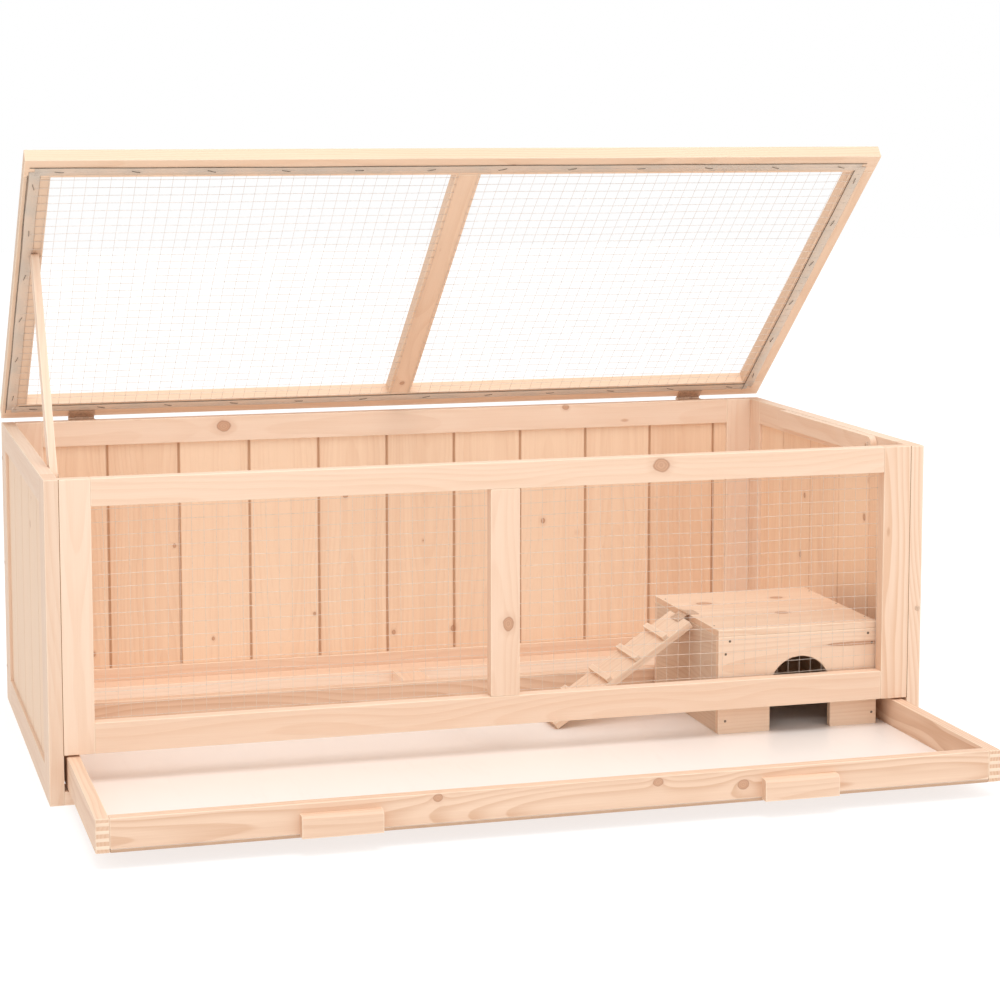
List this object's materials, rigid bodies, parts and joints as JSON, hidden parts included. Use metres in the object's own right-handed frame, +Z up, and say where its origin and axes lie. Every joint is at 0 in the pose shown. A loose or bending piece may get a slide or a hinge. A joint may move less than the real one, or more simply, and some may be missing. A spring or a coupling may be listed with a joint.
{
  "type": "small pet cage",
  "caption": "Long low wooden small-animal cage with a propped mesh lid, a mesh front, a pull-out floor tray, and a hide house with a ramp inside.",
  "frame": {"origin": "centre of the cage's footprint on the floor, on the underside of the middle base bearer", "axes": "+Z up, +X along the length to the right as seen from the mesh front, +Y towards the panelled back"},
  "size_m": [1.15, 0.8943, 0.7914],
  "materials": {
    "frame_wood": "bare planed pine",
    "board_wood": "bare planed pine boards",
    "lid_wood": "bare planed pine",
    "tray_wood": "bare planed pine",
    "house_wood": "bare planed pine",
    "white_panel": "white faced panel",
    "wire_mesh": "galvanised",
    "hinge_steel": "plated"
  },
  "bodies": {
    "cage": {"left_front_stile": "frame_wood", "left_back_stile": "frame_wood", "left_top_rail": "frame_wood", "left_bottom_rail": "frame_wood", "left_boards": "board_wood", "right_front_stile": "frame_wood", "right_back_stile": "frame_wood", "right_top_rail": "frame_wood", "right_bottom_rail": "frame_wood", "right_boards": "board_wood", "back_left_stile": "frame_wood", "back_right_stile": "frame_wood", "back_top_rail": "frame_wood", "back_bottom_rail": "frame_wood", "back_boards": "board_wood", "front_left_stile": "frame_wood", "front_right_stile": "frame_wood", "front_top_rail": "frame_wood", "front_bottom_rail": "frame_wood", "front_center_stile": "frame_wood", "front_mesh": "wire_mesh", "base_front_rail": "frame_wood", "base_back_rail": "frame_wood", "base_center_bearer": "frame_wood", "hinge_left_box_leaf": "hinge_steel", "hinge_right_box_leaf": "hinge_steel", "hinge_left_pin": "hinge_steel", "hinge_right_pin": "hinge_steel", "prop_right_screw": "hinge_steel"},
    "tray": {"tray_left_board": "tray_wood", "tray_right_board": "tray_wood", "tray_front_board": "tray_wood", "tray_back_board": "tray_wood", "tray_floor": "white_panel", "tray_handle_left": "tray_wood", "tray_handle_right": "tray_wood"},
    "lid": {"lid_front_rail": "lid_wood", "lid_back_rail": "lid_wood", "lid_left_stile": "lid_wood", "lid_right_stile": "lid_wood", "lid_center_bar": "lid_wood", "lid_mesh": "wire_mesh", "hinge_left_lid_leaf": "hinge_steel", "hinge_right_lid_leaf": "hinge_steel"},
    "prop_left": {"prop_left": "frame_wood", "prop_left_screw": "hinge_steel"},
    "prop_right": {"prop_right": "frame_wood"},
    "house": {"house_front_wall": "house_wood", "house_back_wall": "house_wood", "house_left_wall": "house_wood", "house_right_wall": "house_wood", "house_roof": "house_wood", "ramp_hinge_roof_leaf": "hinge_steel", "ramp_hinge_pin": "hinge_steel"},
    "ramp": {"ramp_board": "house_wood", "ramp_cleat_1": "house_wood", "ramp_cleat_2": "house_wood", "ramp_cleat_3": "house_wood", "ramp_cleat_4": "house_wood", "ramp_hinge_leaf": "hinge_steel"}
  },
  "joints": [
    {"name": "lid_hinge", "type": "hinge", "parent": "cage", "child": "lid", "pos_m": [0, 0.299, 0.40125], "axis": [-1, 0, 0], "range_deg": [-40, 40]},
    {"name": "prop_left_fold", "type": "hinge", "parent": "lid", "child": "prop_left", "pos_m": [-0.55175, -0.00724, 0.64196], "axis": [-1, 0, 0], "range_deg": [-76.1, 76.1]},
    {"name": "tray_slide", "type": "slide", "parent": "cage", "child": "tray", "axis": [0, -1, 0], "range_m": [-0.278, 0]},
    {"name": "house_lift", "type": "slide", "parent": "tray", "child": "house", "axis": [0, 0, 1], "range_m": [0, 0.42]},
    {"name": "ramp_hinge", "type": "hinge", "parent": "house", "child": "ramp", "pos_m": [0.293, -0.151, 0.1646], "axis": [0, 1, 0], "range_deg": [0, 100]},
    {"name": "prop_right_pivot", "type": "hinge", "parent": "cage", "child": "prop_right", "pos_m": [0.5565, -0.177, 0.3865], "axis": [1, 0, 0], "range_deg": [-60, 35]}
  ],
  "couplings": [
    {"joint": "prop_left_fold", "follows": "lid_hinge", "ratio": 1.9}
  ]
}
